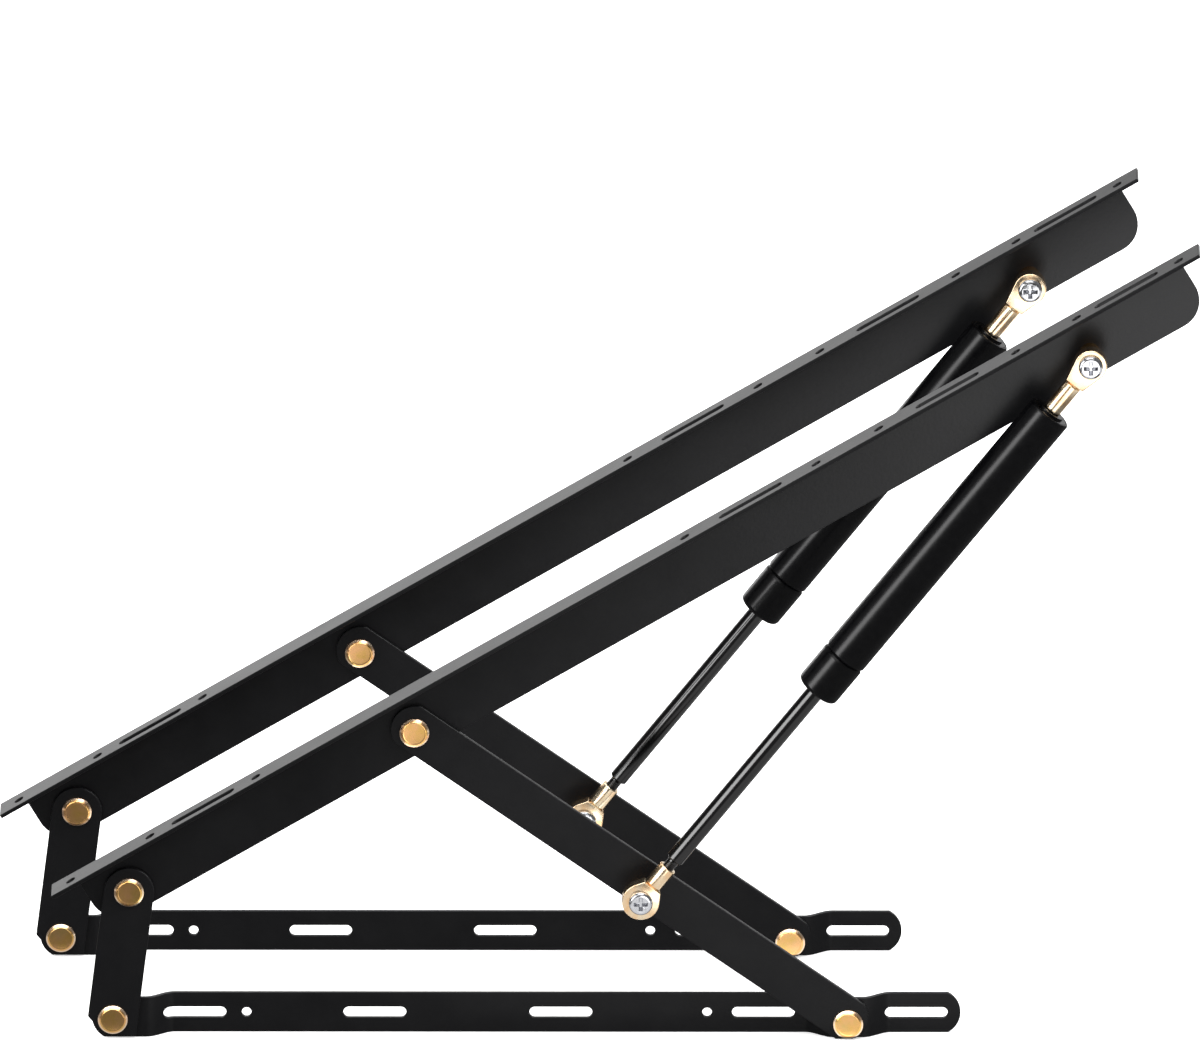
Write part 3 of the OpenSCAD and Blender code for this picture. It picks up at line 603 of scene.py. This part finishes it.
# Lock nuts. A hexagon with turned corners and a collar rolled in at the back, bright zinc plated.
# They pull the strut bolts up behind the platform rail and the long link. The foot's nut keeps
# the end of its bolt, which fills the link's hole.
nut_flats = 13
nut_height = 7.5
collar_lip = 0.7
bolt_proud = 0.5  # mm that the bolt's end stands out of the foot's nut
bolt_part = 11  # mm, the length of bolt that the foot's nut keeps
nut_skin = [(4.7, collar_lip), (4.9, 0.1), (5.2, 0), (5.7, 0.3), (6, 1), (6, 2), (6.3, 2), (7.6, 2.6),
            (7.6, 6.9), (6.3, nut_height)]
open_nut = [(bolt_hole, collar_lip)] + nut_skin + [(bolt_hole, nut_height), (bolt_hole, collar_lip)]
nut_on_bolt = [(0, 0), (3.5, 0), (bolt_radius, 0.5), (bolt_radius, collar_lip + bolt_proud)]
nut_on_bolt += [(radius, height + bolt_proud) for radius, height in nut_skin]
nut_on_bolt += [(bolt_radius, nut_height + bolt_proud), (bolt_radius, bolt_part), (0, bolt_part)]
for end, body, outline in (("top", "platform", open_nut), ("foot", "long_arm", nut_on_bolt)):
    nut = turned(f"near_{end}_nut_body", outline)
    bpy.ops.object.select_all(action="DESELECT")
    bpy.ops.mesh.primitive_cylinder_add(vertices=6, depth=40 * mm,
                                        radius=nut_flats / 2 / math.cos(math.radians(30)) * mm)
    cut(nut, bpy.context.object, "INTERSECT")
    take_up(nut)
    bpy.ops.object.shade_smooth_by_angle(angle=math.radians(35))
    coat(nut, bright_zinc)
    set_down(nut, on_pivot(f"near_strut_{end}_nut"))
    fit_pair(nut, f"strut_{end}_nut", body)

# Inside the tube: an alloy piston with a rubber ring on the rod's end, and a bronze guide and a
# rubber seal in the cap. The alloy is bright, the bronze dull and brown, the rubber soft and black,
# each with flecks about 2 mm apart. None of them shows from outside.
inside = {}
for name, dark, light, metal, rough in (
        ("turned_aluminium_alloy", "#a9abae", "#c9cbcd", 1.0, 0.35),
        ("sintered_bronze", "#84663a", "#a07f4c", 1.0, 0.45),
        ("nitrile_rubber", "#101011", "#1c1c1d", 0.0, 0.6)):
    inside[name], tree, shader, place = new_finish(name)
    shader.inputs["Metallic"].default_value = metal
    shader.inputs["Roughness"].default_value = rough
    fleck = add_node(tree, "ShaderNodeTexNoise", {"Vector": place, "Scale": per_metre(2), "Detail": 3.0})
    shade = add_node(tree, "ShaderNodeMix", {
        mix_by: fleck.outputs["Fac"], mix_from: linear(dark), mix_to: linear(light)}, data_type="RGBA")
    tree.links.new(shade.outputs[mixed], shader.inputs["Base Color"])
for side in ("near", "far"):
    coat(frame["nodes"][f"{side}_strut_piston"], inside["turned_aluminium_alloy"])
    coat(frame["nodes"][f"{side}_strut_rod_guide"], inside["sintered_bronze"])
    coat(frame["nodes"][f"{side}_strut_piston_ring"], inside["nitrile_rubber"])
    coat(frame["nodes"][f"{side}_strut_rod_seal"], inside["nitrile_rubber"])

# Camera: a long lens in front of the pair and a little above it, so that both mechanisms show
# the same shape.
lens = 800
pitch = math.radians(19.243)
yaw = math.radians(-0.148)
distance = 17.755
aim = Vector((0.0489, 0.08, 0.3299))
ahead = Vector((math.sin(yaw) * math.cos(pitch), math.cos(yaw) * math.cos(pitch), -math.sin(pitch)))
camera = bpy.data.objects.new("camera", bpy.data.cameras.new("camera"))
bpy.context.scene.collection.objects.link(camera)
camera.data.lens = lens
camera.data.sensor_width = 36
camera.data.clip_end = 200
camera.location = aim - ahead * distance
camera.rotation_euler = (math.pi / 2 - pitch, 0, -yaw)
bpy.context.scene.camera = camera

# Studio: a white floor that runs out of sight, white surroundings, and soft boxes that the
# camera doesn't see. Black, gold and silver ask for different light, so most of the boxes are
# kept to a few finishes. Cards on the floor stand in for its reflections.
bpy.ops.object.select_all(action="DESELECT")
bpy.ops.mesh.primitive_plane_add(size=120)
floor = bpy.context.object
floor.name = "floor"
floor.visible_glossy = False

# Floor paint: matt white, faintly clouded over 400 mm. It glows a little, so that the pieces
# leave no shadow on it.
white, tree, shader, place = new_finish("matt_white_floor")
shader.inputs["Specular IOR Level"].default_value = 0.0
shader.inputs["Roughness"].default_value = 0.9
shader.inputs["Emission Color"].default_value = linear("#ffffff")
shader.inputs["Emission Strength"].default_value = 0.4
dust = add_node(tree, "ShaderNodeTexNoise", {"Vector": place, "Scale": per_metre(400), "Detail": 2.0})
shade = add_node(tree, "ShaderNodeMix", {
    mix_by: dust.outputs["Fac"], mix_from: linear("#f6f6f6"), mix_to: linear("#fafafa")},
    data_type="RGBA")
tree.links.new(shade.outputs[mixed], shader.inputs["Base Color"])
floor.data.materials.append(white)

# The surroundings light the pieces well, but show only faintly in them.
world = bpy.data.worlds.new("white_studio")
bpy.context.scene.world = world
world.use_nodes = True
tree = world.node_tree
ray = add_node(tree, "ShaderNodeLightPath")
dim = add_node(tree, "ShaderNodeMapRange", {
    "Value": ray.outputs["Is Glossy Ray"], "To Min": 1.15, "To Max": 0.2})
tree.nodes["Background"].inputs["Color"].default_value = linear("#ffffff")
tree.links.new(dim.outputs["Result"], tree.nodes["Background"].inputs["Strength"])


def pieces_in(finishes, side=""):
    """Group of the pieces that have one of these finishes, of both mechanisms or one."""
    group = bpy.data.collections.new("lit")
    for piece in bpy.context.scene.objects:
        if piece.type == "MESH" and piece.active_material in finishes and piece.name.startswith(side):
            group.objects.link(piece)
    return group


def soft_box(name, place, look_at, wide, high, glow, lights=None, shaded_by=None):
    """Area light of that radiance, out of the picture. It can be kept to a group of pieces."""
    lamp = bpy.data.lights.new(name, "AREA")
    lamp.shape = "RECTANGLE"
    lamp.size, lamp.size_y = wide, high
    lamp.energy = glow * math.pi * wide * high
    box = bpy.data.objects.new(name, lamp)
    bpy.context.scene.collection.objects.link(box)
    box.location = place
    box.rotation_euler = (Vector(look_at) - Vector(place)).to_track_quat("-Z", "Y").to_euler()
    box.visible_camera = False
    box.light_linking.receiver_collection = lights
    box.light_linking.blocker_collection = shaded_by


card_height = 0.003  # m above the floor


def floor_card(name, left, right, front, back, glow, lights):
    """Glowing card just above the floor, which those pieces reflect."""
    middle = Vector(((left + right) / 2, (front + back) / 2, card_height))
    soft_box(name, middle, middle + Vector((0, 0, 1)), right - left, back - front, glow, lights)


gold_finishes = (rivet_zinc, eye_zinc)
zinc_finishes = gold_finishes + (bright_zinc,)
coated = pieces_in((powder_coat,))
golden = pieces_in(gold_finishes)
bolts = pieces_in((bright_zinc,))
plated = pieces_in(zinc_finishes)
tubes = pieces_in((enamel,))
rods = pieces_in((nitride,))
all_but_struts = pieces_in(zinc_finishes + (powder_coat, nylon, white))

# The strip on the left draws the streaks along tubes and rods, and the boxes on the right lighten
# the raised ends of the platform rails.
strip_place, strip_aim = (-0.92, -0.95, 0.69), (0.2, -0.04, 0.3)
soft_box("strip_left", strip_place, strip_aim, 0.9, 1.1, 5, pieces_in(zinc_finishes + (nylon, white)))
soft_box("strip_left_tubes", strip_place, strip_aim, 0.5, 1.1, 9, tubes)
soft_box("strip_left_rods", strip_place, strip_aim, 0.9, 1.1, 8, rods)
for side, step in (("near", Vector()), ("far", pair_step)):
    shades = pieces_in((eye_zinc, bright_zinc, enamel), side)
    box_aim = Vector((0.4, 0, 0.45)) + step
    soft_box(f"box_right_{side}", Vector((0.58, -1.05, 0.22)) + step, box_aim, 0.7, 0.7, 4.5,
             pieces_in((powder_coat,), side), shades)
    soft_box(f"box_right_low_{side}", Vector((0.42, -1.05, 0.22)) + step, box_aim, 0.7, 0.7, 3,
             pieces_in(zinc_finishes, side), shades)

# Boxes above draw the light lines along plate edges and rivet rims. Those behind light the top legs.
soft_box("box_edges", (1.0, -0.45, 1.35), (0, 0, 0.3), 1.2, 1.2, 14, coated)
soft_box("box_edges_left", (-0.75, -0.45, 1.35), (0.2, 0, 0.4), 1.0, 1.0, 16, coated)
soft_box("box_above", (0.1, -0.9, 2.4), (0, 0, 0.2), 1.8, 1.8, 2.2)
soft_box("box_above_rims", (0, -1.1, 2.4), (0, -0.3, 0.2), 3.4, 2.2, 3, golden, golden)
soft_box("box_over", (0, 1.3, 2.6), (0, 0.3, 0), 3, 2.2, 2, all_but_struts)
soft_box("box_over_left", (-2, 1.2, 1.7), (0, 0.1, 0.3), 1.8, 1.6, 2, all_but_struts)
soft_box("box_behind", (-1.1, 2.4, 0.8), (-0.4, 0, 0.35), 1.1, 1.6, 2.0)
soft_box("box_behind_middle", (-0.45, 2.4, 0.85), (0.1, 0, 0.45), 0.3, 1.2, 0.7, coated)
soft_box("box_behind_right", (0.5, 2.4, 0.7), (0.2, 0, 0.3), 2.1, 1.3, 0.75)

floor_card("card_behind", -1.5, 1.5, 0.35, 3, 1.6, all_but_struts)
floor_card("card_left", -2.6, -1, -1.6, 0.3, 0.9, all_but_struts)
floor_card("card_right", 0.8, 2.4, -1.6, 0.3, 0.9, all_but_struts)
floor_card("card_plates", -0.05, 0.5, -0.9, -0.03, 0.4, coated)
floor_card("card_front", -0.2, 0.5, -0.9, -0.03, 0.75, plated)
floor_card("card_bolts", -0.1, 0.25, -0.6, -0.1, 1.2, bolts)
floor_card("card_between", -0.2, 0.5, 0.05, 0.12, 0.8, plated)
floor_card("card_near", -0.2, 0.12, -0.03, 0.05, 2.2, golden)
floor_card("card_far", -0.2, 0.09, 0.12, 0.2, 2.2, golden)
floor_card("card_near_right", 0.12, 0.6, -0.03, 0.05, 1.2, golden)
floor_card("card_far_right", 0.09, 0.6, 0.12, 0.2, 1.2, golden)
floor_card("card_near_left", -0.45, -0.2, -0.035, 0.03, 0.5, golden)
floor_card("card_far_left", -0.45, -0.23, 0.123, 0.19, 0.5, golden)
floor_card("card_rods", -0.2, 0.8, -0.55, 0.4, 0.6, rods)

bpy.context.scene.view_settings.view_transform = "Standard"
